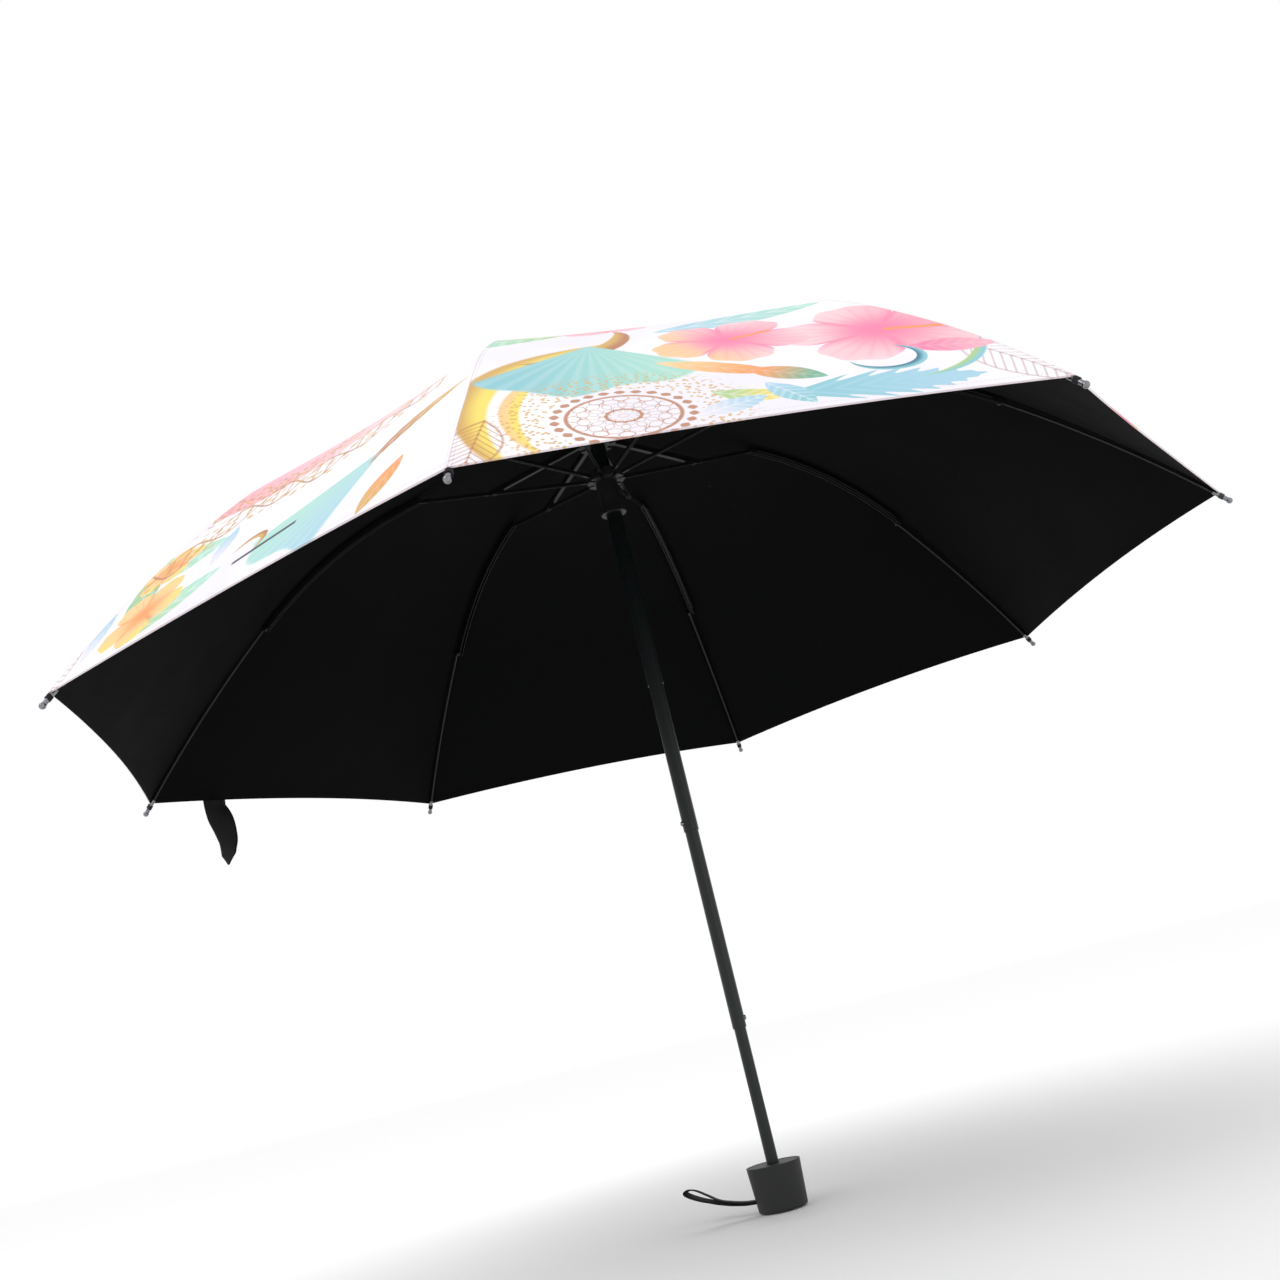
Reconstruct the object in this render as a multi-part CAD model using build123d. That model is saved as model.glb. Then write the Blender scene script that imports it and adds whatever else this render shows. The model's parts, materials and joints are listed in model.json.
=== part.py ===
from build123d import *
from math import asin, atan2, cos, degrees, hypot, radians, sin, tan
import os

# A folding umbrella, open: telescopic shaft, runner, crown and eight folding rib sets under a
# canopy of eight gores. Millimetres, +Z up the shaft, origin at the centre of the handle's flat
# base. Rib 0 lies above the +X axis and the others follow anticlockwise, seen from above.
# A point in a rib's plane is written (r, z): distance from the shaft's axis, and height.

RIBS = 8
PITCH = 360 / RIBS

# Shaft: four tubes, the lowest one the thinnest. Each is (outer radius, inner radius, bottom, top).
LOWER_TUBE = (4.7, 4.0, 6.0, 153.0)
THIRD_TUBE = (5.5, 4.75, 135.0, 312.0)
SECOND_TUBE = (6.2, 5.55, 294.0, 438.0)
TOP_TUBE = (6.9, 6.25, 420.0, 655.0)
BUTTON_RADIUS = 2.0
BUTTON_PROUD = 1.6
BUTTON_ABOVE_END = 7.0
BUTTON_AZIMUTHS = (125.0, -55.0, 150.0)

# Handle: a short cup with a lid, and a socket for the lowest tube.
HANDLE_BASE_R = 19.0
HANDLE_TOP_R = 21.0
HANDLE_H = 33.0
HANDLE_WALL = 2.2
HANDLE_FLOOR = 3.0
LID_H = 3.0
LID_LEDGE = 1.6
LID_GAP = 0.05
BASE_ROUND = 1.2
SOCKET_R = 7.5
STRAP_Z = 8.6
STRAP_SLOT_HALF = 2.8
STRAP_WIDTH = 10.0
STRAP_THICK = 1.2
STRAP_GAP = 2.4
STRAP_INNER_Y = -11.2
STRAP_BEND_Y = -30.0
STRAP_END_Y, STRAP_END_Z = -70.6, 23.0
STRAP_PIN_Y = -12.6
STRAP_PIN_R = 1.0
STRAP_PIN_HALF = 12.5

# Rib linkage. C is the crown pivot, R the runner pivot, P where the top rib crosses the stretcher,
# Q the middle rib's pivot, J the outer rib's pivot and T the canopy's corner.
PIVOT_R = 14.0
CROWN_Z = 650.0
TOP_RIB_LEN = 92.0
OPEN_ANGLE = 11.47
STRETCHER_OUT = 70.0
MIDDLE_END = (338.0, 572.0)
CORNER = (473.0, 443.4)
MIDDLE_BULGE = 12.0
OUTER_BULGE = 4.0

RUNNER_Z = CROWN_Z - 2 * TOP_RIB_LEN * sin(radians(OPEN_ANGLE))
C = (PIVOT_R, CROWN_Z)
R = (PIVOT_R, RUNNER_Z)
P = (PIVOT_R + TOP_RIB_LEN * cos(radians(OPEN_ANGLE)), (CROWN_Z + RUNNER_Z) / 2)
Q = (
    P[0] + STRETCHER_OUT * cos(radians(OPEN_ANGLE)),
    P[1] + STRETCHER_OUT * sin(radians(OPEN_ANGLE)),
)

# Rib sections: width across the rib's plane, height in it.
CHANNEL_HALF = 1.9
CHANNEL_INNER = 1.4
CHANNEL_HALF_H = 2.5
WEB = 0.6
BAR_HALF = 1.2
BAR_HALF_H = 1.5
CHANNEL_FROM = 8.0
FORK_LENGTH = 12.0
FORK_HALF = 6.0
RIVET_R = 0.7
RIVET_HOLE = 0.72
PIVOT_HOLE = 0.9
WIRE_R = 0.6
OUTER_WIRE_R = 1.1
OUTER_SIDE = 3.3
EYE_HALF = 1.0
HEAD_R, HEAD_THICK = 1.6, 0.6
TIP_R, TIP_LENGTH, TIP_BALL_R, TIP_OVERLAP = 1.8, 14.0, 2.4, 3.5
CONTROL_WIRE_R = 0.5

# Crown and runner.
NOTCH_R = 16.5
SLOT_FLOOR_R = 10.8
CROWN_SLOT = 4.2
RUNNER_SLOT = 2.9
CROWN_BOTTOM, CROWN_TOP, CROWN_BOSS_TOP = 644.0, 655.0, 661.0
RUNNER_BOTTOM, RING_BOTTOM, RUNNER_TOP = 578.0, 609.0, 617.0
CROWN_BOSS_R = 8.5
TOP_CAP_R, TOP_CAP_H, TOP_CAP_Z, TOP_CAP_ROUND = 13.0, 6.0, 658.7, 4.5
RUNNER_BORE = 7.0
RUNNER_SLEEVE_R = 9.6
RUNNER_FLANGE_R = 11.0
RUNNER_FLANGE_H = 4.0
CATCH_AZIMUTH = 202.5
CATCH_Z = 595.0
CATCH_R = 3.0
CATCH_FROM, CATCH_LENGTH = 9.1, 2.2
PIVOT_WIRE_FIT = 0.03
TUBE_FIT = 0.02

# Canopy: its underside stands this far above the ribs' centre lines.
CANOPY_CLEAR = 3.9
CANOPY_THICK = 0.5
CANOPY_HOLE_R = 12.0
CANOPY_TOP_Z = 657.0
CANOPY_SHOULDER_Z = 653.5
TIE_LENGTH = 66.0
TIE_TOP, TIE_TIP = 28.0, 12.0
TIE_FROM_CORNER = 75.0
TIE_THICK = 1.0
TIE_DROOP = 30.0

BASE = (Align.CENTER, Align.CENTER, Align.MIN)
os.makedirs("parts", exist_ok=True)


def save(name, *solids):
    """Writes one node: one solid, or a group of separate ones."""
    shape = solids[0] if len(solids) == 1 else Compound(children=list(solids))
    export_step(shape, f"parts/{name}.step")


def disc(radius, bottom, top):
    return Pos(0, 0, bottom) * Cylinder(radius, top - bottom, align=BASE)


def tube(outer, inner, bottom, top):
    return disc(outer, bottom, top) - disc(inner, bottom, top)


def cross_rod(radius, side_a, side_b, r=0.0, z=0.0):
    """A rod across a rib's plane, from side_a to side_b, through the point (r, z)."""
    return Pos(r, side_a, z) * Rot(-90, 0, 0) * Cylinder(radius, side_b - side_a, align=BASE)


def block(x_range, y_range, z_range):
    spans = (x_range, y_range, z_range)
    size = [high - low for low, high in spans]
    middle = [(low + high) / 2 for low, high in spans]
    return Pos(*middle) * Box(*size)


def along(start, end):
    """The frame with its origin at start, X towards end, and Z on the rib's upper side."""
    angle = degrees(atan2(end[1] - start[1], end[0] - start[0]))
    return Pos(start[0], 0, start[1]) * Rot(0, -angle, 0)


class Bow:
    """A circular arc over a chord, bulging to the chord's upper side."""

    def __init__(self, start, end, bulge):
        self.chord = hypot(end[0] - start[0], end[1] - start[1])
        self.bulge = bulge
        self.radius = (self.chord**2 / 4 + bulge**2) / (2 * bulge)
        self.half = degrees(asin(self.chord / 2 / self.radius))
        self.frame = along(start, end)

    def sweep(self, section, skip=0.0):
        """Sweeps a section, drawn with X outward from the arc's centre and Y across the rib."""
        trim = degrees(skip / self.radius)
        turned = revolve(section, Axis.Y, 2 * (self.half - trim))
        start = 90 + self.half - trim
        centre = Pos(self.chord / 2, 0, self.bulge - self.radius)
        return self.frame * centre * Rot(0, -start, 0) * turned

    def height(self, share):
        """How far the arc stands above its chord, at a share of the chord's length."""
        x = (share - 0.5) * self.chord
        return self.bulge - self.radius + (self.radius**2 - x**2) ** 0.5


MIDDLE = Bow(Q, MIDDLE_END, MIDDLE_BULGE)
OUTER = Bow(MIDDLE_END, CORNER, OUTER_BULGE)


def around(solid, number):
    return Rot(0, 0, PITCH * number) * solid


# ---- handle ----


def strap_pin(radius):
    place = Pos(-STRAP_PIN_HALF, STRAP_PIN_Y, STRAP_Z) * Rot(0, 90, 0)
    return place * Cylinder(radius, 2 * STRAP_PIN_HALF, align=BASE)


def make_handle():
    lid_bottom = HANDLE_H - LID_H
    outer = Cone(HANDLE_BASE_R, HANDLE_TOP_R, HANDLE_H, align=BASE)
    outer = fillet(outer.edges().group_by(Axis.Z)[0], BASE_ROUND)
    hollow = disc(HANDLE_BASE_R - HANDLE_WALL, HANDLE_FLOOR, lid_bottom)
    lid_seat = disc(HANDLE_TOP_R - LID_LEDGE, lid_bottom, HANDLE_H + 1)
    slot_half = STRAP_WIDTH / 2 + 0.5
    slot = block((-slot_half, slot_half), (-30, -10), (STRAP_Z - STRAP_SLOT_HALF, STRAP_Z + STRAP_SLOT_HALF))
    body = outer - hollow - lid_seat - slot - strap_pin(STRAP_PIN_R + 0.03)
    save("handle_body", body)
    lid = disc(HANDLE_TOP_R - LID_LEDGE - LID_GAP, lid_bottom + LID_GAP, HANDLE_H - 0.2)
    lid -= disc(LOWER_TUBE[0] + LID_GAP, 0, 2 * HANDLE_H)
    lid = chamfer(lid.edges().group_by(Axis.Z)[-1], 0.5)
    save("handle_cap", lid)
    socket = tube(SOCKET_R, LOWER_TUBE[0] + TUBE_FIT, HANDLE_FLOOR + LID_GAP, lid_bottom)
    save("handle_socket", socket)


def make_wrist_strap():
    """A ribbon loop that goes round a pin inside the handle, leaves its side and rises outward."""
    path = Polyline((STRAP_INNER_Y, STRAP_Z), (STRAP_BEND_Y, STRAP_Z), (STRAP_END_Y, STRAP_END_Z))
    outer = make_face(offset(path, STRAP_GAP / 2 + STRAP_THICK))
    inner = make_face(offset(path, STRAP_GAP / 2))
    loop = extrude(Plane.YZ * (outer - inner), STRAP_WIDTH / 2, both=True)
    save("wrist_strap", loop)
    save("strap_pin", strap_pin(STRAP_PIN_R))


# ---- shaft ----


def button_place(tube_size, azimuth):
    height = tube_size[2] + BUTTON_ABOVE_END
    return Rot(0, 0, azimuth) * Pos(0, 0, height) * Rot(0, 90, 0)


def button_hole(tube_size, azimuth):
    return button_place(tube_size, azimuth) * Cylinder(BUTTON_RADIUS + 0.1, 20, align=BASE)


def button(tube_size, azimuth):
    outer = tube_size[0]
    length = BUTTON_PROUD + 0.05
    plug = Pos(0, 0, outer - 0.05) * Cylinder(BUTTON_RADIUS, length, align=BASE)
    plug = fillet(plug.edges().group_by(Axis.Z)[-1], 0.9)
    return button_place(tube_size, azimuth) * plug


def make_shaft():
    save("lower_tube", tube(*LOWER_TUBE))
    names = ("third_tube", "second_tube", "top_tube")
    for number, (name, size, azimuth) in enumerate(
        zip(names, (THIRD_TUBE, SECOND_TUBE, TOP_TUBE), BUTTON_AZIMUTHS), start=1
    ):
        save(name, tube(*size) - button_hole(size, azimuth))
        save(f"lock_button_{number}", button(size, azimuth))


# ---- crown and runner ----


def radial_slots(width, bottom, top):
    slot = block((SLOT_FLOOR_R, NOTCH_R + 5), (-width / 2, width / 2), (bottom, top))
    return [around(slot, number) for number in range(RIBS)]


def pivot_wire(height, radius):
    return Pos(0, 0, height) * Torus(PIVOT_R, radius)


def make_crown():
    notch = disc(NOTCH_R, CROWN_BOTTOM, CROWN_TOP) + disc(CROWN_BOSS_R, CROWN_TOP, CROWN_BOSS_TOP)
    notch -= disc(TOP_TUBE[0] + TUBE_FIT, CROWN_BOTTOM, CROWN_TOP)
    for slot in radial_slots(CROWN_SLOT, CROWN_BOTTOM - 1, CROWN_TOP + 1):
        notch -= slot
    save("crown_notch", notch - pivot_wire(CROWN_Z, WIRE_R + PIVOT_WIRE_FIT))
    save("crown_pivot_wire", pivot_wire(CROWN_Z, WIRE_R))
    cap = Pos(0, 0, TOP_CAP_Z) * Cylinder(TOP_CAP_R, TOP_CAP_H, align=BASE)
    cap = fillet(cap.edges().group_by(Axis.Z)[-1], TOP_CAP_ROUND)
    cap -= disc(CROWN_BOSS_R + 0.1, CROWN_TOP, CROWN_BOSS_TOP + 0.1)
    save("top_cap", cap)


def make_runner():
    runner = disc(RUNNER_SLEEVE_R, RUNNER_BOTTOM, RING_BOTTOM) + disc(NOTCH_R, RING_BOTTOM, RUNNER_TOP)
    runner += disc(RUNNER_FLANGE_R, RUNNER_BOTTOM, RUNNER_BOTTOM + RUNNER_FLANGE_H)
    runner -= disc(RUNNER_BORE, RUNNER_BOTTOM - 1, RUNNER_TOP + 1)
    for slot in radial_slots(RUNNER_SLOT, RING_BOTTOM - 1, RUNNER_TOP + 1):
        runner -= slot
    place = Rot(0, 0, CATCH_AZIMUTH) * Pos(0, 0, CATCH_Z) * Rot(0, 90, 0)
    runner -= place * Pos(0, 0, CATCH_FROM - 1.1) * Cylinder(CATCH_R + 0.1, 5, align=BASE)
    save("runner", runner - pivot_wire(RUNNER_Z, WIRE_R + PIVOT_WIRE_FIT))
    wire = pivot_wire(RUNNER_Z, WIRE_R)
    for slot in radial_slots(RUNNER_SLOT + 0.4, RUNNER_Z - 3, RUNNER_Z + 3):
        wire -= slot
    save("runner_pivot_wire", *wire.solids())
    catch = Pos(0, 0, CATCH_FROM) * Cylinder(CATCH_R, CATCH_LENGTH, align=BASE)
    catch = fillet(catch.edges().group_by(Axis.Z)[-1], 0.6)
    save("runner_catch", place * catch)


# ---- ribs ----


def polygon(*points):
    return make_face(Polyline(*points, close=True))


def top_rib():
    """Channel open upward, solid at the crown's eye, forked where the stretcher passes."""
    length, wide, high, inner = TOP_RIB_LEN, CHANNEL_HALF, CHANNEL_HALF_H, CHANNEL_INNER
    rib = block((0, length), (-wide, wide), (-high, high))
    rib += cross_rod(high, -wide, wide) + cross_rod(high, -wide, wide, length)
    rib -= block((CHANNEL_FROM, length + 5), (-inner, inner), (-high + WEB, high + 1))
    rib -= block((length - FORK_LENGTH, length + 5), (-inner, inner), (-high - 1, high + 1))
    rib -= cross_rod(PIVOT_HOLE, -5, 5) + cross_rod(RIVET_HOLE, -5, 5, length)
    frame = along(C, P)
    return [frame * rib, frame * cross_rod(RIVET_R, -wide, wide, length)]


def stretcher():
    """Narrow bar from the runner through the top rib's fork to the middle rib, hollowed below."""
    length, wide, high = TOP_RIB_LEN + STRETCHER_OUT, BAR_HALF, BAR_HALF_H
    bar = block((0, length), (-wide, wide), (-high, high))
    bar += cross_rod(high, -wide, wide) + cross_rod(high, -wide, wide, length)
    for start, end in (
        (CHANNEL_FROM, TOP_RIB_LEN - FORK_HALF), (TOP_RIB_LEN + FORK_HALF, length - CHANNEL_FROM)
    ):
        bar -= block((start, end), (-wide + 0.5, wide - 0.5), (-high - 1, high - 0.8))
    for x in (0, TOP_RIB_LEN, length):
        bar -= cross_rod(PIVOT_HOLE if x else WIRE_R + 0.2, -5, 5, x)
    return [along(R, Q) * bar]


def middle_rib():
    """Bowed channel open downward with a rivet at each end, and its control wire beside it."""
    wide, high, inner, radius = CHANNEL_HALF, CHANNEL_HALF_H, CHANNEL_INNER, MIDDLE.radius
    low, top, web = radius - high, radius + high, radius + high - WEB
    section = polygon(
        (low, -wide), (top, -wide), (top, wide), (low, wide), (low, inner), (web, inner),
        (web, -inner), (low, -inner),
    )
    rib = MIDDLE.sweep(section)
    holes = []
    rivets = []
    head = OUTER_SIDE + EYE_HALF + 0.2
    for point, side in ((Q, wide), (MIDDLE_END, head)):
        for ear in ((-wide, -inner), (inner, wide)):
            rib += cross_rod(high, *ear, *point)
        holes.append(cross_rod(RIVET_HOLE, -5, 5, *point))
        rivets.append(cross_rod(RIVET_R, -wide, side, *point))
    for hole in holes:
        rib -= hole
    rivets[1] += cross_rod(HEAD_R, head, head + HEAD_THICK, *MIDDLE_END)
    wire = Pos(radius, -wide - CONTROL_WIRE_R) * Circle(CONTROL_WIRE_R)
    return [rib, *rivets, MIDDLE.sweep(wire, 6.0)]


def outer_rib():
    """Bowed wire with a flat eye, beside the middle rib so that the two fold flat together."""
    section = Pos(OUTER.radius, OUTER_SIDE) * Circle(OUTER_WIRE_R)
    eye = cross_rod(CHANNEL_HALF_H, OUTER_SIDE - EYE_HALF, OUTER_SIDE + EYE_HALF, *MIDDLE_END)
    hole = cross_rod(PIVOT_HOLE, -5, 8, *MIDDLE_END)
    return [OUTER.sweep(section) + eye - hole]


def rib_tip():
    """Tubular end cap with a small ball, in line with the outer rib's end."""
    slope = degrees(atan2(CORNER[1] - MIDDLE_END[1], CORNER[0] - MIDDLE_END[0])) - OUTER.half
    cap = Cylinder(TIP_R, TIP_LENGTH, align=BASE) + Pos(0, 0, TIP_LENGTH) * Sphere(TIP_BALL_R)
    cap -= Pos(0, 0, -1) * Cylinder(OUTER_WIRE_R + 0.05, 5, align=BASE)
    place = Pos(CORNER[0], OUTER_SIDE, CORNER[1]) * Rot(0, 90 - slope, 0) * Pos(0, 0, -TIP_OVERLAP)
    return [place * cap]


def make_ribs():
    makers = {"top_rib": top_rib, "stretcher": stretcher, "middle_rib": middle_rib,
              "outer_rib": outer_rib, "rib_tip": rib_tip}
    for name, maker in makers.items():
        solids = maker()
        for number in range(RIBS):
            save(f"{name}_{number}", *[around(solid, number) for solid in solids])


# ---- canopy ----


def canopy_profile():
    """The canopy's underside along a rib, from the centre hole to the corner."""
    points = [(CANOPY_HOLE_R, CANOPY_TOP_Z), (P[0], CANOPY_SHOULDER_Z)]
    for bow, start, end, shares in (
        (MIDDLE, Q, MIDDLE_END, (0, 0.25, 0.5, 0.75, 1)),
        (OUTER, MIDDLE_END, CORNER, (0.5, 1)),
    ):
        lean = atan2(end[1] - start[1], end[0] - start[0])
        for share in shares:
            up = bow.height(share) + CANOPY_CLEAR
            points.append((
                start[0] + (end[0] - start[0]) * share - up * sin(lean),
                start[1] + (end[1] - start[1]) * share + up * cos(lean),
            ))
    return points


def make_canopy():
    flat = cos(radians(PITCH / 2))
    under = [(r * flat, z) for r, z in canopy_profile()]
    over = [(r, z + CANOPY_THICK) for r, z in reversed(under)]
    outline = Plane.XZ * polygon(*under, *over)
    reach = 2 * CORNER[0]
    sheet = extrude(outline, reach, both=True)
    half = reach * tan(radians(PITCH / 2))
    wedge = extrude(Pos(0, 0, 400) * polygon((0, 0), (reach, half), (reach, -half)), 300)
    gore = sheet & wedge
    save("canopy", *[around(gore, number + 0.5) for number in range(RIBS)])


def make_tie_strap():
    """Tapered strap that hangs from the hem between ribs 5 and 6, close to rib 6."""
    slope = degrees(atan2(MIDDLE_END[1] - CORNER[1], CORNER[0] - MIDDLE_END[0]))
    top, tip = TIE_TOP / 2, TIE_TIP / 2
    shape = polygon((0, -top), (TIE_LENGTH, -tip), (TIE_LENGTH, tip), (0, top))
    strap = extrude(shape, TIE_THICK)
    corner_r, corner_z = canopy_profile()[-1]
    edge_r = corner_r * cos(radians(PITCH / 2))
    offset = corner_r * sin(radians(PITCH / 2)) - TIE_FROM_CORNER
    place = Pos(edge_r + 1, offset, corner_z - 1) * Rot(0, slope + TIE_DROOP, 0)
    save("tie_strap", around(place * strap, 5.5))


make_handle()
make_wrist_strap()
make_shaft()
make_crown()
make_runner()
make_ribs()
make_canopy()
make_tie_strap()
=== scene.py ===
import json
import math

import bpy
from mathutils import Matrix, Vector


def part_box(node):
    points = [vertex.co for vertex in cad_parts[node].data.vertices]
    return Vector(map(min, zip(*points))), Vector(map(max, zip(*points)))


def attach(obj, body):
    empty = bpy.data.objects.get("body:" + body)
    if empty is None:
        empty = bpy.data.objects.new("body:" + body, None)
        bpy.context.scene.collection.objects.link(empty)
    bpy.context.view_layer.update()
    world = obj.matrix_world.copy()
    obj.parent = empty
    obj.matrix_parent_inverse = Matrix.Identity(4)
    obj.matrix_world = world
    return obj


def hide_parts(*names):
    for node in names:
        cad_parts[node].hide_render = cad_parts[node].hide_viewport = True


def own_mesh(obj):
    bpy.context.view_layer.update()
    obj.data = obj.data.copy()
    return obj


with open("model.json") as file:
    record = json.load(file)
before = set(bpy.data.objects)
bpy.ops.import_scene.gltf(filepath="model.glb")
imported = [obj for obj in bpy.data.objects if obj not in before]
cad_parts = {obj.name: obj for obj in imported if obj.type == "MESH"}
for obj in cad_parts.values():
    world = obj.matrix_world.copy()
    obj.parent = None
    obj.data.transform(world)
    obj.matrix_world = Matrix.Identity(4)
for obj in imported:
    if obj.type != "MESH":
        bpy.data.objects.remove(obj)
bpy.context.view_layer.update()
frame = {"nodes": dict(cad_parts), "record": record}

JOINTS = {joint["name"]: joint for joint in frame["record"]["behaviour"]["joints"]}
RIBS = 8
PITCH = math.tau / RIBS
UP = Vector((0, 0, 1))


def add_object(name, data):
    made = bpy.data.objects.new(name, data)
    bpy.context.scene.collection.objects.link(made)
    return made


# ---- camera: at the photograph's angle ----

LENS, SENSOR = 38.73, 36
CAMERA_AT = Vector((1.1088, 0.1925, 0.1439))
CAMERA_LOOKS_AT = Vector((-0.0283, -0.0091, 0.4699))
CAMERA_ROLL = math.radians(-13.7)


def make_camera():
    forward = (CAMERA_LOOKS_AT - CAMERA_AT).normalized()
    level = forward.cross(UP).normalized()
    right = level * math.cos(CAMERA_ROLL) + level.cross(forward) * math.sin(CAMERA_ROLL)
    above = right.cross(forward)
    data = bpy.data.cameras.new("camera")
    data.lens, data.sensor_width = LENS, SENSOR
    camera = add_object("camera", data)
    axes = Matrix((right, above, -forward)).transposed()
    camera.matrix_world = Matrix.LocRotScale(CAMERA_AT, axes, None)
    bpy.context.scene.camera = camera


# ---- shader graphs, written as sums ----

# The colour sockets of a mix node: its two inputs and its output.
MIX_LOW, MIX_HIGH, MIX_RESULT = 6, 7, 2


class Graph:
    """A material's node tree, with short calls for the nodes that this scene uses."""

    def __init__(self, name):
        self.material = bpy.data.materials.new(name)
        self.material.use_nodes = True
        self.tree = self.material.node_tree
        self.shader = self.tree.nodes["Principled BSDF"]

    def node(self, kind, inputs=(), **settings):
        made = self.tree.nodes.new(kind)
        for key, value in settings.items():
            setattr(made, key, value)
        for key, value in dict(inputs).items():
            self.feed(made.inputs[key], value)
        return made

    def feed(self, socket, value):
        if isinstance(value, Sum):
            value = value.socket
        if isinstance(value, bpy.types.NodeSocket):
            self.tree.links.new(value, socket)
        elif isinstance(value, (tuple, list)) and len(value) == 3 and len(socket.default_value) == 4:
            socket.default_value = (*value, 1)
        else:
            socket.default_value = value

    def math(self, operation, *values):
        made = self.node("ShaderNodeMath", operation=operation)
        for socket, value in zip(made.inputs, values):
            self.feed(socket, value)
        return Sum(self, made.outputs[0])

    def mix(self, share, low, high):
        """Colour low where share is 0, high where it is 1."""
        made = self.node("ShaderNodeMix", data_type="RGBA")
        self.feed(made.inputs[0], share)
        self.feed(made.inputs[MIX_LOW], low)
        self.feed(made.inputs[MIX_HIGH], high)
        return made.outputs[MIX_RESULT]

    def noise(self, vector, scale, detail=3, stretch=None):
        if stretch:
            vector = self.node("ShaderNodeMapping", {"Vector": vector, "Scale": stretch}).outputs[0]
        made = self.node("ShaderNodeTexNoise", {"Vector": vector, "Scale": scale, "Detail": detail})
        return Sum(self, made.outputs[0])

    def place(self):
        return self.node("ShaderNodeTexCoord").outputs["Object"]

    def uv(self, name):
        return self.node("ShaderNodeUVMap", uv_map=name).outputs[0]

    def bump(self, height, strength, distance):
        made = self.node("ShaderNodeBump", {"Height": height, "Strength": strength, "Distance": distance})
        self.feed(self.shader.inputs["Normal"], made.outputs[0])

    def finish(self, **values):
        for key, value in values.items():
            self.feed(self.shader.inputs[key.replace("_", " ")], value)
        return self.material


class Sum:
    """A value in a shader graph that takes part in ordinary arithmetic."""

    def __init__(self, graph, socket):
        self.graph, self.socket = graph, socket

    def __add__(self, other):
        return self.graph.math("ADD", self, other)

    def __sub__(self, other):
        return self.graph.math("SUBTRACT", self, other)

    def __rsub__(self, other):
        return self.graph.math("SUBTRACT", other, self)

    def __mul__(self, other):
        return self.graph.math("MULTIPLY", self, other)

    __radd__, __rmul__ = __add__, __mul__

    def __truediv__(self, other):
        return self.graph.math("DIVIDE", self, other)

    def absolute(self):
        return self.graph.math("ABSOLUTE", self)

    def sine(self):
        return self.graph.math("SINE", self)

    def above(self, level, soft):
        """0 well under a level, 1 well over it, over a width of soft."""
        made = self.graph.node("ShaderNodeMapRange", interpolation_type="SMOOTHSTEP", clamp=True)
        self.graph.feed(made.inputs[0], self - level)
        made.inputs[1].default_value = -soft
        made.inputs[2].default_value = soft
        return Sum(self.graph, made.outputs[0])

    def below(self, level, soft):
        return 1 - self.above(level, soft)


# ---- the print: a generic garden of flowers, leaves and bands, in metres on the cloth ----

# The pattern repeats at this width across the cloth, and between these lengths along a rib.
TILE_WIDTH = 0.72
HALF_TILE = TILE_WIDTH / 2
TILE_FROM, TILE_TO = 0.25, 0.54
# How softly a motif's outline is printed, as a share of the motif's size.
EDGE = 0.02

WHITE = (0.90, 0.89, 0.93)
MIST = (0.76, 0.73, 0.83)
ROSE = (0.89, 0.19, 0.37)
PINK = (0.93, 0.40, 0.49)
BLUSH = (0.94, 0.62, 0.66)
PEACH = (0.94, 0.58, 0.26)
ORANGE = (0.88, 0.30, 0.07)
YELLOW = (0.88, 0.70, 0.12)
GOLD = (0.64, 0.38, 0.08)
COPPER = (0.46, 0.17, 0.055)
AQUA = (0.38, 0.70, 0.58)
SEA = (0.23, 0.54, 0.60)
SKY = (0.36, 0.60, 0.74)
SLATE = (0.035, 0.18, 0.27)
SAGE = (0.38, 0.58, 0.24)
GREEN = (0.12, 0.42, 0.27)
DUSTY = (0.52, 0.36, 0.36)
NAVY = (0.02, 0.024, 0.06)


# Each motif's place takes in this much of the colour under it: too little to see, but it makes the
# renderer finish one motif before it starts the next, so that a long print still fits in its memory.
CHAIN = 1e-8


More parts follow.
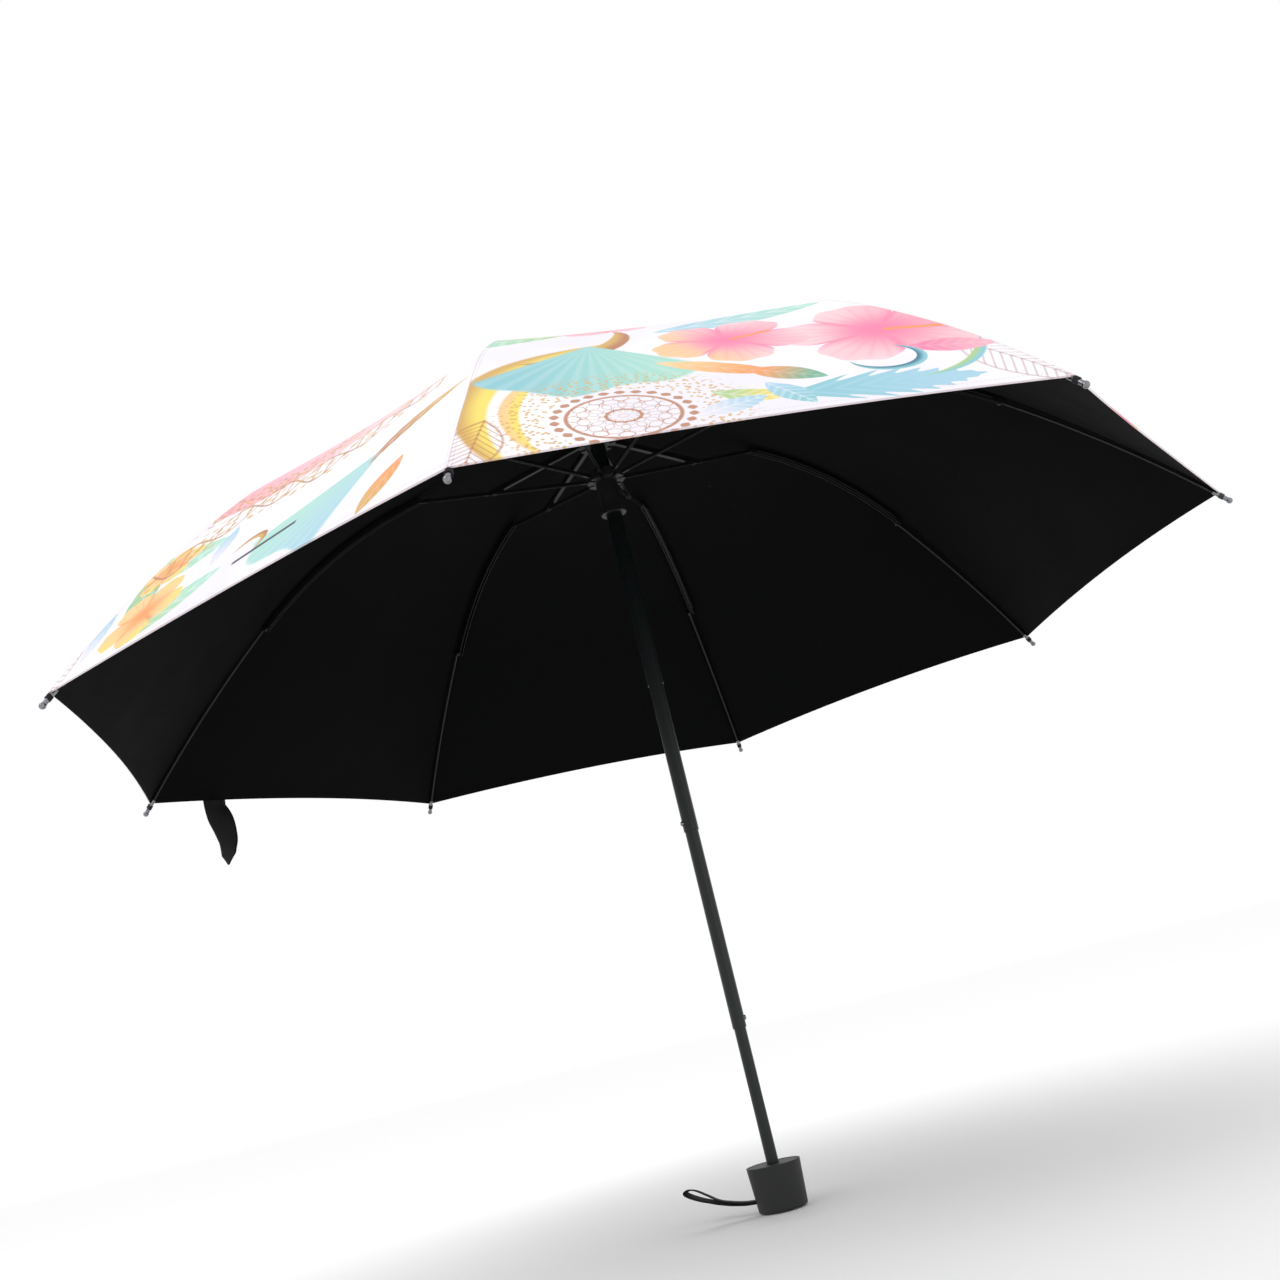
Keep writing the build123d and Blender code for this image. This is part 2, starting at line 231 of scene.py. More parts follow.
class Motifs:
    """Paints one motif after another over a base colour."""

    def __init__(self, graph, cloth, base):
        self.graph, self.cloth, self.colour = graph, cloth, base

    def spot(self, at, size, turn=0.0):
        """Coordinates centred on a motif, with its size as the unit."""
        chained = self.graph.node("ShaderNodeVectorMath", operation="MULTIPLY_ADD")
        for socket, value in zip(chained.inputs, (self.colour, (CHAIN, CHAIN, CHAIN), self.cloth)):
            self.graph.feed(socket, value)
        mapping = self.graph.node("ShaderNodeMapping", vector_type="TEXTURE")
        self.graph.feed(mapping.inputs["Vector"], chained.outputs[0])
        mapping.inputs["Location"].default_value = (*at, 0)
        mapping.inputs["Rotation"].default_value = (0, 0, math.radians(turn))
        mapping.inputs["Scale"].default_value = (size, size, size)
        parts = self.graph.node("ShaderNodeSeparateXYZ", {"Vector": mapping.outputs[0]})
        return Sum(self.graph, parts.outputs[0]), Sum(self.graph, parts.outputs[1])

    def polar(self, x, y):
        angle = self.graph.math("ARCTAN2", y, x)
        reach = self.graph.math("SQRT", x * x + y * y)
        return reach, angle

    def lay(self, mask, colour):
        self.colour = self.graph.mix(mask, self.colour, colour)

    def flower(self, at, size, turn, heart, petal, rim, glow):
        """An open blossom of five overlapping petals with a long stamen; glow tints one side."""
        x, y = self.spot(at, size, turn)
        reach, angle = self.polar(x, y)
        lobes = (angle * 2.5).sine().absolute()
        edge = self.graph.math("POWER", lobes, 0.45) * 0.42 + 0.56 + (angle * 17).sine() * 0.018
        lean = (angle * 5).sine() * 0.5 + 0.5
        tone = self.graph.mix(reach.above(0.36, 0.34), heart, petal)
        tone = self.graph.mix(reach.above(0.70, 0.32) * (lean * 0.6 + 0.4), tone, rim)
        tone = self.graph.mix(x.below(-0.25, 0.45) * reach.above(0.45, 0.3) * 0.85, tone, glow)
        veins = (angle * 30).sine().above(0.6, 0.5) * reach.below(0.85, 0.3)
        tone = self.graph.mix(veins * 0.22, tone, heart)
        tone = self.graph.mix(lobes.below(0.22, 0.2) * reach.above(0.22, 0.1) * 0.7, tone, heart)
        self.lay(reach.below(edge, EDGE), tone)
        stamen = y.absolute().below(0.035, 0.02) * x.above(0.05, 0.03) * x.below(0.60, 0.03)
        self.lay(stamen, ORANGE)

    def leaf(self, at, size, turn, slim, dark, light, bend=0.0, veins=0.25):
        """A pointed leaf that shades from its stalk to its tip, with a midrib and side veins."""
        x, y = self.spot(at, size, turn)
        if bend:
            y = y + x * x * bend
        side = y.absolute() / slim
        tone = self.graph.mix(x.above(0.0, 0.85), dark, light)
        ribs = ((x - side * 0.35) * 21).sine().above(0.4, 0.5)
        tone = self.graph.mix(ribs * veins, tone, WHITE)
        tone = self.graph.mix(side.below(0.05, 0.05) * veins * 2, tone, WHITE)
        self.lay((1 - x * x - side).above(0.02, 0.03), tone)

    def feather(self, at, size, turn, slim, dark, light):
        """A palm-like leaf whose edge is cut into barbs."""
        x, y = self.spot(at, size, turn)
        side = y.absolute() / slim
        barbs = ((x - side * 0.5) * 24).sine()
        tone = self.graph.mix(x.above(0.0, 0.8), dark, light)
        tone = self.graph.mix(barbs.above(0.35, 0.5) * 0.55, tone, light)
        outline = 1 - x * x - side * (barbs * 0.22 + 1.0)
        self.lay(outline.above(0.02, 0.03), tone)

    def line_leaf(self, at, size, turn, slim, colour):
        """A leaf drawn in thin lines only."""
        x, y = self.spot(at, size, turn)
        side = y.absolute() / slim
        inside = (1 - x * x - side).above(0.02, 0.03)
        ribs = ((x - side * 0.5) * 38).sine().above(0.7, 0.25)
        rim = (1 - x * x - side).absolute().below(0.05, 0.03)
        self.lay((inside * (ribs + side.below(0.04, 0.03)) + rim) * 0.6, colour)

    def fan(self, at, size, turn, spread, near, far):
        """A ginkgo-like leaf with faint pleats and a wavy edge."""
        x, y = self.spot(at, size, turn)
        reach, angle = self.polar(x, y)
        wave = (angle * 11).sine() * 0.035 + (angle * 4.3).sine() * 0.05 + 0.90
        tone = self.graph.mix(y.above(0.0, 0.55), near, far)
        pleats = (angle * 46).sine().above(0.2, 0.7)
        tone = self.graph.mix(pleats * 0.12, tone, WHITE)
        self.lay(reach.below(wave, EDGE) * angle.absolute().below(spread, 0.03), tone)

    def band(self, at, size, turn, width, half_angle, colour, rim, rim_share=0.6):
        """A curved brush stroke that tapers to both ends, darker on its outer side."""
        x, y = self.spot(at, size, turn)
        reach, angle = self.polar(x, y)
        share = angle / half_angle
        taper = (1 - share * share) * width
        off = reach - 1
        tone = self.graph.mix(off.above(0.0, width * rim_share), colour, rim)
        self.lay(off.absolute().below(taper, 0.012) * angle.absolute().below(half_angle, 0.02), tone)

    def medallion(self, at, size, turn, line, speck):
        """A round filigree of crossing scrolls and rings, with a fringe of beads."""
        x, y = self.spot(at, size, turn)
        reach, angle = self.polar(x, y)
        scrolls = ((angle * 6 + reach * 9).sine() * (angle * 6 - reach * 9).sine()).absolute()
        curls = (scrolls - 0.25 - (reach * 15).sine() * 0.16).absolute().below(0.075, 0.06)
        rings = (reach - 0.98).absolute().below(0.035, 0.02) + (reach - 0.30).absolute().below(0.03, 0.02)
        self.lay((curls * reach.below(0.95, 0.03) + rings) * 0.9, line)
        bead = (angle * 13).sine().absolute() * 0.13 - (reach - 1.18).absolute()
        self.lay(bead.above(0.045, 0.02) * 0.9, line)
        sprigs = self.scatter(x, y, 7.5).below(0.26, 0.06)
        self.lay(sprigs * reach.above(1.34, 0.04) * reach.below(2.2, 0.3) * 0.85, speck)

    def scatter(self, x, y, count):
        """Distance to the nearest of a field of random points, that many to a unit."""
        where = self.graph.node("ShaderNodeCombineXYZ", {"X": x, "Y": y}).outputs[0]
        inputs = {"Vector": where, "Scale": count}
        field = self.graph.node("ShaderNodeTexVoronoi", inputs, voronoi_dimensions="2D")
        return Sum(self.graph, field.outputs["Distance"])

    def lace(self, at, size, turn, line, speck):
        """Two wavering threads tied by short rungs, with beads."""
        x, y = self.spot(at, size, turn)
        inside = x.absolute().below(1.0, 0.03)
        wave = (x * 5.0).sine() * 0.09
        twist = (x * 9.5 + 0.6).sine() * 0.15
        above, under = y - wave - twist, y - wave + twist
        threads = above.absolute().below(0.014, 0.008) + under.absolute().below(0.014, 0.008)
        rungs = (x * 62).sine().above(0.93, 0.05) * (y - wave).absolute().below(twist.absolute(), 0.01)
        self.lay((threads + rungs) * inside * 0.85, line)
        beads = self.scatter(x, y, 11).below(0.24, 0.06) * (y - wave).absolute().below(0.22, 0.04)
        self.lay(beads * inside * 0.8, speck)


def wrapped_cloth(graph):
    """The cloth's coordinates, repeated like the rapport of a printed fabric."""
    parts = graph.node("ShaderNodeSeparateXYZ", {"Vector": graph.uv("print")})
    across = graph.math("WRAP", parts.outputs[0], TILE_WIDTH - HALF_TILE / 2, -HALF_TILE / 2)
    along = graph.math("WRAP", parts.outputs[1], TILE_TO, TILE_FROM)
    return graph.node("ShaderNodeCombineXYZ", {"X": across, "Y": along}).outputs[0]


def paint_first_half(paint):
    """Blossoms, a bud, a ginkgo leaf, leaves, bands and a filigree medallion."""
    paint.leaf((0.050, 0.322), 0.066, -8, 0.30, SKY, AQUA)
    paint.leaf((-0.105, 0.300), 0.050, 150, 0.34, SAGE, AQUA, bend=0.2)
    paint.band((-0.015, 0.495), 0.147, 205, 0.075, 0.95, YELLOW, GOLD)
    paint.band((-0.028, 0.498), 0.112, 196, 0.055, 0.70, YELLOW, PEACH)
    paint.band((-0.105, 0.312), 0.072, 44, 0.11, 0.95, GOLD, COPPER)
    paint.fan((-0.062, 0.352), 0.118, 99, 0.78, AQUA, SEA)
    paint.medallion((-0.076, 0.503), 0.034, 10, COPPER, GOLD)
    paint.feather((0.078, 0.511), 0.062, 4, 0.30, SEA, SKY)
    paint.line_leaf((0.165, 0.500), 0.048, 66, 0.45, DUSTY)
    paint.line_leaf((-0.165, 0.515), 0.036, 110, 0.45, COPPER)
    paint.band((0.098, 0.446), 0.062, 40, 0.06, 0.80, SAGE, SEA)
    paint.leaf((0.002, 0.500), 0.026, 25, 0.42, SAGE, YELLOW, bend=0.2)
    paint.leaf((0.024, 0.504), 0.024, 70, 0.42, SKY, SEA)
    paint.leaf((-0.014, 0.512), 0.026, -20, 0.40, MIST, SKY)
    paint.flower((0.114, 0.412), 0.066, 18, ROSE, PINK, BLUSH, BLUSH)
    paint.flower((0.024, 0.382), 0.054, -15, ROSE, PINK, BLUSH, PEACH)
    paint.leaf((0.140, 0.462), 0.028, 15, 0.45, ROSE, PINK, veins=0.1)
    paint.band((0.096, 0.466), 0.022, 60, 0.16, 2.1, SLATE, SEA)
    paint.leaf((-0.001, 0.441), 0.044, 39, 0.24, PEACH, ORANGE, veins=0.1)
    paint.leaf((0.033, 0.469), 0.027, 40, 0.44, ORANGE, GREEN, veins=0.1)
    paint.flower((-0.040, 0.272), 0.040, 80, ROSE, PINK, BLUSH, PEACH)


def paint_second_half(paint):
    """A broad blush petal, golden lace, a blue ginkgo leaf, marigolds, leaves and a navy bar."""
    middle = HALF_TILE
    paint.leaf((middle - 0.045, 0.336), 0.125, -3, 0.30, PINK, BLUSH, veins=0.0)
    paint.fan((middle + 0.092, 0.437), 0.118, 128, 0.52, SKY, AQUA)
    paint.leaf((middle - 0.112, 0.430), 0.050, 15, 0.40, SAGE, AQUA, bend=0.3)
    paint.leaf((middle - 0.135, 0.462), 0.050, 70, 0.30, SAGE, GREEN)
    paint.leaf((middle - 0.075, 0.505), 0.046, -25, 0.34, SAGE, AQUA)
    paint.flower((middle - 0.112, 0.492), 0.040, 40, ORANGE, PEACH, YELLOW, PEACH)
    paint.flower((middle - 0.128, 0.428), 0.030, 10, ORANGE, PEACH, YELLOW, PEACH)
    paint.leaf((middle - 0.061, 0.443), 0.030, 80, 0.28, SKY, MIST, veins=0.1)
    paint.leaf((middle - 0.162, 0.490), 0.030, 88, 0.26, SKY, MIST, veins=0.1)
    paint.leaf((middle + 0.104, 0.416), 0.044, 132, 0.20, GOLD, COPPER, bend=0.3)
    paint.leaf((middle + 0.118, 0.505), 0.030, 102, 0.32, ORANGE, GOLD, veins=0.1)
    paint.lace((middle - 0.030, 0.385), 0.130, 163, COPPER, GOLD)
    paint.lace((middle - 0.080, 0.352), 0.090, 172, GOLD, COPPER)
    paint.band((middle - 0.016, 0.480), 0.016, -60, 0.22, 1.8, GOLD, COPPER)
    paint.flower((middle + 0.060, 0.285), 0.038, 30, ROSE, PINK, BLUSH, PEACH)
    x, y = paint.spot((middle + 0.008, 0.489), 0.028, -11)
    paint.lay(x.absolute().below(1, 0.03) * y.absolute().below(0.09, 0.03), NAVY)


SEAM_HALF = 0.0022
STITCH_LENGTH = 0.0028
HEM_STITCH = 0.0068
THREAD_HALF = 0.0003
DITCH = 0.0005


def sewn_marks(graph):
    """Stitch threads of the seam over a rib and of the hem, with painted shade in the ditch over the rib and
    along the hem's fold; also the height of all of these.
    """
    parts = graph.node("ShaderNodeSeparateXYZ", {"Vector": graph.uv("sewing")})
    off_rib, off_hem = Sum(graph, parts.outputs[0]).absolute(), Sum(graph, parts.outputs[1])
    # Painted shade in the ditch over the rib.
    ditch = off_rib.below(DITCH, 0.0004)
    dash = (off_hem * (math.tau / STITCH_LENGTH)).sine().above(-0.3, 0.5)
    stitch = (off_rib - SEAM_HALF).absolute().below(THREAD_HALF, THREAD_HALF) * dash
    hem_dash = (off_rib * (math.tau / STITCH_LENGTH)).sine().above(-0.3, 0.5)
    hem_line = (off_hem - HEM_STITCH).absolute().below(THREAD_HALF, THREAD_HALF) * hem_dash
    # Painted shade along the hem's fold.
    fold = off_hem.below(DITCH, DITCH)
    return ditch + stitch + hem_line + fold


def printed_satin():
    graph = Graph("printed_satin")
    place = graph.place()
    cloth = wrapped_cloth(graph)
    wash = graph.noise(place, 9, 2).above(0.50, 0.16)
    paint = Motifs(graph, cloth, graph.mix(wash * 0.6, WHITE, MIST))
    paint_first_half(paint)
    paint_second_half(paint)
    marks = sewn_marks(graph)
    grain = graph.noise(place, 1100, 2)
    folds = graph.noise(place, 24, 2, (1, 1, 2.5))
    # The seams darken towards DUSTY: stitch thread, and painted shade in the ditch over each rib and along
    # the hem's fold.
    shade = graph.mix(marks * 0.45, paint.colour, DUSTY)
    shade = graph.mix(grain * 0.08, shade, MIST)
    graph.bump(grain * 0.15 + folds * 0.8 - marks * 0.6, 0.35, 0.0010)
    return graph.finish(Base_Color=shade, Roughness=folds * 0.15 + 0.48, Sheen_Weight=0.04,
                        Sheen_Roughness=0.4, Specular_IOR_Level=0.25)


# Two tones of the black lining: the fold noise puts the darker one in fold hollows as painted shade and the
# lighter one on fold crests as painted light, half and half with a random grain.
LINING_DARK, LINING_LIGHT = (0.0010, 0.0011, 0.0011), (0.0032, 0.0034, 0.0034)
# Seam colour of the lining: its stitch thread, and painted shade in the ditch over each rib and along the
# hem's fold.
LINING_SEAM_THREAD_AND_SHADE = (0.0006, 0.0006, 0.0006)


def black_lining():
    graph = Graph("black_lining")
    place = graph.place()
    marks = sewn_marks(graph)
    grain = graph.noise(place, 1100, 2)
    folds = graph.noise(place, 16, 3)
    # Painted shade in fold hollows and painted light on fold crests, half and half with random grain.
    tone = graph.mix(grain * 0.5 + folds * 0.5, LINING_DARK, LINING_LIGHT)
    # Stitch thread, with painted shade in the seam ditch and along the hem's fold.
    tone = graph.mix(marks * 0.5, tone, LINING_SEAM_THREAD_AND_SHADE)
    graph.bump(grain * 0.3 + folds - marks * 0.5, 0.4, 0.001)
    return graph.finish(Base_Color=tone, Roughness=folds * 0.2 + 0.60, Specular_IOR_Level=0.04)


WARP_PITCH, WEFT_PITCH = 0.0011, 0.0014
# The black ribbon's colour in the hollows between its threads and on their crests: painted shade and painted
# light.
RIBBON_WEAVE_SHADED, RIBBON_WEAVE_LIT = (0.0025, 0.0025, 0.0027), (0.010, 0.010, 0.011)


def ribbon_material():
    graph = Graph("black_ribbon")
    cloth = graph.uv("weave")
    parts = graph.node("ShaderNodeSeparateXYZ", {"Vector": cloth})
    across = (Sum(graph, parts.outputs[0]) * (math.tau / WARP_PITCH)).sine()
    along = (Sum(graph, parts.outputs[1]) * (math.tau / WEFT_PITCH)).sine()
    weave = across * along
    # Painted shade between the threads and painted light on their crests, following the weave's height.
    tone = graph.mix(weave * 0.5 + 0.5, RIBBON_WEAVE_SHADED, RIBBON_WEAVE_LIT)
    graph.bump(weave, 0.5, 0.0003)
    return graph.finish(Base_Color=tone, Roughness=0.72, Sheen_Weight=0.05, Sheen_Roughness=0.5,
                        Specular_IOR_Level=0.2)


def lacquered(name, colour, roughness, coat):
    """Black lacquer over metal, with fine dust and upright rubbed streaks."""
    graph = Graph(name)
    place = graph.place()
    streaks = graph.noise(place, 160, 2, (1, 1, 0.05))
    dust = graph.noise(place, 700, 2).above(0.66, 0.06)
    worn = tuple(channel * 2.0 + 0.006 for channel in colour)
    tone = graph.mix(dust * 0.35 + streaks * 0.2, colour, worn)
    graph.bump(streaks + dust * 0.4, 0.15, 0.0004)
    return graph.finish(Base_Color=tone, Roughness=streaks * 0.16 + roughness, Metallic=0.35,
                        Coat_Weight=coat, Coat_Roughness=0.15)


def moulded(name, colour, roughness):
    """Moulded plastic with a fine spark-eroded grain."""
    graph = Graph(name)
    place = graph.place()
    grain = graph.noise(place, 1400, 2)
    smears = graph.noise(place, 45, 3)
    worn = tuple(channel * 1.8 + 0.003 for channel in colour)
    tone = graph.mix(smears.above(0.55, 0.2) * 0.5, colour, worn)
    graph.bump(grain, 0.35, 0.0003)
    return graph.finish(Base_Color=tone, Roughness=smears * 0.18 + roughness)


STEEL_DARK, STEEL_LIGHT = (0.14, 0.145, 0.155), (0.30, 0.31, 0.33)


def plated():
    """Bright plated steel with fine drawing marks."""
    graph = Graph("plated_steel")
    place = graph.place()
    marks = graph.noise(place, 500, 3)
    tone = graph.mix(marks, STEEL_DARK, STEEL_LIGHT)
    graph.bump(marks, 0.1, 0.0002)
    return graph.finish(Base_Color=tone, Roughness=marks * 0.2 + 0.14, Metallic=1.0)


# ---- the canopy's shape ----

# How far the cloth's outer face stands off the ribs' centre lines, and aside at the tips, where
# the outer ribs lie beside their own planes.
CLEAR, CLEAR_AT_TIP = 0.0046, 0.0024
SIDE_AT_TIP = 0.0033
MIDDLE_BULGE, OUTER_BULGE = 0.012, 0.004
CLOTH, HEM_CLOTH = 0.0004, 0.0011
HEM_WIDTH = 0.009
# Between the ribs the cloth dips inward, most a little past its middle, and the hem curves in by
# a share of the cloth's length.
DIP, DIP_POWER = 0.004, 1.4
DIP_WAY = Vector((-0.6, 0, -0.8))
SCALLOP, SCALLOP_POWER = 0.012, 8
# Inward of the middle rib the cloth runs on in that rib's line, aimed this far, and bends over to
# the crown.
SHOULDER = 0.075
TOP_LIFT = 0.0002
CURVE_STEPS = 40
NORMAL_STEP = 0.002


def steps(low, high, count):
    return [low + (high - low) * n / count for n in range(count + 1)]


def rib_point(name):
    """A rib joint's distance from the axis and height."""
    x, y, z = JOINTS[name]["pos_m"]
    return Vector((math.hypot(x, y), z))


PIVOT_Q = rib_point("middle_rib_0_hinge")
PIVOT_J = rib_point("outer_rib_0_hinge")
CORNER = Vector((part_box("outer_rib_0")[1].x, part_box("outer_rib_0")[0].z))
CANOPY_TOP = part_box("canopy")[1].z
HOLE_R = 0.0125


def bowed(start, end, bulge, clear_start, clear_end):
    """Points on a shallow arc from start to end, lifted off the rib by a clearance."""
    chord = end - start
    normal = Vector((-chord.y, chord.x)).normalized()
    radius = (chord.length ** 2 / 4 + bulge ** 2) / (2 * bulge)
    points = []
    for share in steps(0, 1, CURVE_STEPS):
        x = (share - 0.5) * chord.length
        rise = bulge - radius + math.sqrt(radius * radius - x * x)
        clear = clear_start + (clear_end - clear_start) * share
        points.append(start + chord * share + normal * (rise + clear))
    return points


def meridian():
    """The cloth's line over a rib: (length along it, distance from the axis, height)."""
    middle = bowed(PIVOT_Q, PIVOT_J, MIDDLE_BULGE, CLEAR, CLEAR)
    outer = bowed(PIVOT_J, CORNER, OUTER_BULGE, CLEAR, CLEAR_AT_TIP)
    start = Vector((HOLE_R, CANOPY_TOP + TOP_LIFT))
    aim = middle[0] - (middle[1] - middle[0]).normalized() * SHOULDER
    inner = []
    for t in steps(0, 1, CURVE_STEPS):
        inner.append(start * (1 - t) ** 2 + aim * (2 * t * (1 - t)) + middle[0] * t ** 2)
    line = inner + middle[1:] + outer[1:]
    rows, total = [], 0.0
    for number, point in enumerate(line):
        total += (point - line[number - 1]).length if number else 0
        rows.append((total, point.x, point.y))
    return rows, rows[CURVE_STEPS][0], rows[2 * CURVE_STEPS][0]


MERIDIAN, ALONG_Q, ALONG_J = meridian()
ALONG_T = MERIDIAN[-1][0]


def on_meridian(along):
    low = 0
    while low < len(MERIDIAN) - 2 and MERIDIAN[low + 1][0] < along:
        low += 1
    a, b = MERIDIAN[low], MERIDIAN[low + 1]
    t = (along - a[0]) / (b[0] - a[0])
    return a[1] + (b[1] - a[1]) * t, a[2] + (b[2] - a[2]) * t


def cloth_point(along, across):
    """A point of the cloth in rib 0's frame; across runs from -1 to 1, from gore middle to gore middle."""
    share = abs(across)
    hang = share * (2 - share)
    tail = (along / ALONG_T) ** SCALLOP_POWER
    r, z = on_meridian(along * (1 - SCALLOP * hang * tail))
    x = r * (1 - (1 - math.cos(PITCH)) / 2 * share)
    y = r * math.sin(PITCH) / 2 * across
    to_tip = min(1.0, max(0.0, (along - ALONG_J) / (ALONG_T - ALONG_J) * 2))
    y += SIDE_AT_TIP * to_tip * (1 - share) ** 2
    depth = DIP * math.sin(math.pi * min(1.0, (along / ALONG_T) ** DIP_POWER)) * hang
    return Vector((x, y, z)) + DIP_WAY * depth


def cloth_normal(along, across, side):
    step = NORMAL_STEP
    low, high = (across, across + step) if side > 0 else (across - step, across)
    if high > 1 or low < -1:
        low, high = low - side * step, high - side * step
    back = min(along, ALONG_T - step)
    du = cloth_point(along, high) - cloth_point(along, low)
    dv = cloth_point(back + step, across) - cloth_point(back, across)
    normal = dv.cross(du).normalized()
    return normal if normal.z + normal.x > 0 else -normal


def sewing_place(along, across):
    """Distance from the seam over the rib, and from the hem."""
    return on_meridian(along)[0] * math.sin(PITCH / 2) * abs(across), ALONG_T - along


class Cloth:
    """Collects closed two-layer panels of cloth into one mesh."""

    def __init__(self):
        self.points, self.faces, self.kinds, self.places, self.normals = [], [], [], [], []

    def panel(self, rib, rows, columns, side):
        """One panel between lengths along the rib (rows) and shares across the gore (columns)."""
        turn = PITCH * rib
        cosine, sine = math.cos(turn), math.sin(turn)

        def place(v):
            return Vector((v.x * cosine - v.y * sine, v.x * sine + v.y * cosine, v.z))

        start = len(self.points)
        count = len(columns)
        grid, flat, facing = [], [], []
        for along in rows:
            thick = HEM_CLOTH if along > ALONG_T - HEM_WIDTH else CLOTH
            for across in columns:
                point, normal = cloth_point(along, across), cloth_normal(along, across, side)
                grid.append((place(point), place(point - normal * thick)))
                facing.append(place(normal))
                flat.append((self.print_place(rib, along, across, side), sewing_place(along, across)))
        self.points += [outer for outer, _ in grid] + [inner for _, inner in grid]
        layer = len(grid)
        for row in range(len(rows) - 1):
            for column in range(count - 1):
                a = row * count + column
                corners = [a, a + 1, a + count + 1, a + count]
                if side > 0:
                    corners.reverse()
                self.face(start, corners, 0, flat, [facing[c] for c in corners])
                under = [c + layer for c in reversed(corners)]
                self.face(start, under, 1, flat, [-facing[c - layer] for c in under])
        rim = list(range(count)) + [r * count + count - 1 for r in range(1, len(rows))]
        rim += [(len(rows) - 1) * count + c for c in range(count - 2, -1, -1)]
        rim += [r * count for r in range(len(rows) - 2, 0, -1)]
        for a, b in zip(rim, rim[1:] + rim[:1]):
            corners = [b, a, a + layer, b + layer]
            if side > 0:
                corners.reverse()
            self.face(start, corners, 0, flat, None)

    def print_place(self, rib, along, across, side):
        """Where a point lies on the printed fabric: each gore is cut from another part of it."""
        gore = (rib if side > 0 else rib - 1) % RIBS
        r = on_meridian(along)[0]
        middle_off = (abs(across) - 1) * side * r * math.sin(PITCH / 2)
        shift, drop, mirror = GORE_CUTS[gore]
        return (middle_off * mirror + shift, along + drop)

    def face(self, start, corners, kind, flat, normals):
        self.faces.append([start + c for c in corners])
        self.kinds.append(kind)
        count = len(flat)
        self.places += [flat[c % count] for c in corners]
        self.normals.append(normals)

    def make(self, name, materials):
        mesh = bpy.data.meshes.new(name)
        mesh.from_pydata(self.points, [], self.faces)
        for material in materials:
            mesh.materials.append(material)
        for number, title in enumerate(("print", "sewing")):
            layer = mesh.uv_layers.new(name=title)
            for loop, place in zip(layer.data, self.places):
                loop.uv = place[number]
        for polygon, kind in zip(mesh.polygons, self.kinds):
            polygon.material_index = kind
            polygon.use_smooth = True
        mesh.update()
        split = []
        for polygon, normals in zip(mesh.polygons, self.normals):
            split += [tuple(n) for n in normals] if normals else [tuple(polygon.normal)] * polygon.loop_total
        mesh.normals_split_custom_set(split)
        return add_object(name, mesh)


# Where each gore was cut from the printed fabric: shift across, shift along, and mirroring.
GORE_CUTS = [(0.0, 0.0, 1), (HALF_TILE, 0.04, -1), (0.05, 0.10, -1), (HALF_TILE + 0.05, -0.05, 1),
             (0.02, 0.16, 1), (HALF_TILE, 0.12, 1), (-0.05, 0.07, -1), (HALF_TILE, 0.0, 1)]
# Each half gore over the top ribs is cut into slices.
CAP_SLICES = 2
MIDDLE_ROWS, OUTER_ROWS, CAP_ROWS = 16, 20, 12
PANEL_COLUMNS, CAP_COLUMNS = 14, 6
# The cloth thickens into the hem over this length.
HEM_STEP = 0.0004


def cut_size(low, high, share):
    """Flat width, length and area of a panel pair between two lengths along the rib."""
    edge = math.sin(PITCH / 2) * share
    wide, narrow = on_meridian(high)[0] * edge * 2, on_meridian(low)[0] * edge * 2
    return wide, high - low, (wide + narrow) / 2 * (high - low)


def make_canopy(satin, lining):
    materials = (satin, lining)
    middle_rows = steps(ALONG_Q, ALONG_J, MIDDLE_ROWS)
    outer_rows = steps(ALONG_J, ALONG_T - HEM_WIDTH - HEM_STEP, OUTER_ROWS)
    outer_rows += [ALONG_T - HEM_WIDTH, ALONG_T - HEM_WIDTH / 2, ALONG_T]
    cap_rows = steps(0, ALONG_Q, CAP_ROWS)
    for rib in range(RIBS):
        for part, rows in (("middle", middle_rows), ("outer", outer_rows)):
            cloth = Cloth()
            for side in (1, -1):
                cloth.panel(rib, rows, [side * w for w in steps(0, 1, PANEL_COLUMNS)], side)
            piece = cloth.make(f"canopy_{part}_{rib}", materials)
            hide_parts("canopy")
            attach(piece, f"{part}_rib_{rib}")
            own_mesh(piece)
            width, length, area = cut_size(rows[0], rows[-1], 1)
        for side in (1, -1):
            for number in range(CAP_SLICES):
                low, high = number / CAP_SLICES, (number + 1) / CAP_SLICES
                cloth = Cloth()
                cloth.panel(rib, cap_rows, [side * w for w in steps(low, high, CAP_COLUMNS)], side)
                name = f"canopy_cap_{rib}_{'ab'[number]}{'r' if side > 0 else 'l'}"
                piece = cloth.make(name, materials)
                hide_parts("canopy")
                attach(piece, "top_tube")
                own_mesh(piece)
                width, length, area = cut_size(0, ALONG_Q, 0.5 / CAP_SLICES)


# ---- ribbons: the wrist loop and the tie strap ----

TAPE_COLUMNS = 8
TAPE_EDGE_THIN, TAPE_EDGE_POWER = 0.45, 6
SPAN_STEPS = 8


def smooth_line(points):
    """Points on a Catmull-Rom curve through the given ones."""
    ends = [points[0] * 2 - points[1], *points, points[-1] * 2 - points[-2]]
    line = []
    for a, b, c, d in zip(ends, ends[1:], ends[2:], ends[3:]):
        for t in steps(0, 1 - 1 / SPAN_STEPS, SPAN_STEPS - 1):
            cubic = (b * 3 - a - c * 3 + d) * t ** 3
            line.append((b * 2 + (c - a) * t + (a * 2 - b * 5 + c * 4 - d) * t ** 2 + cubic) / 2)
    return line + [points[-1]]


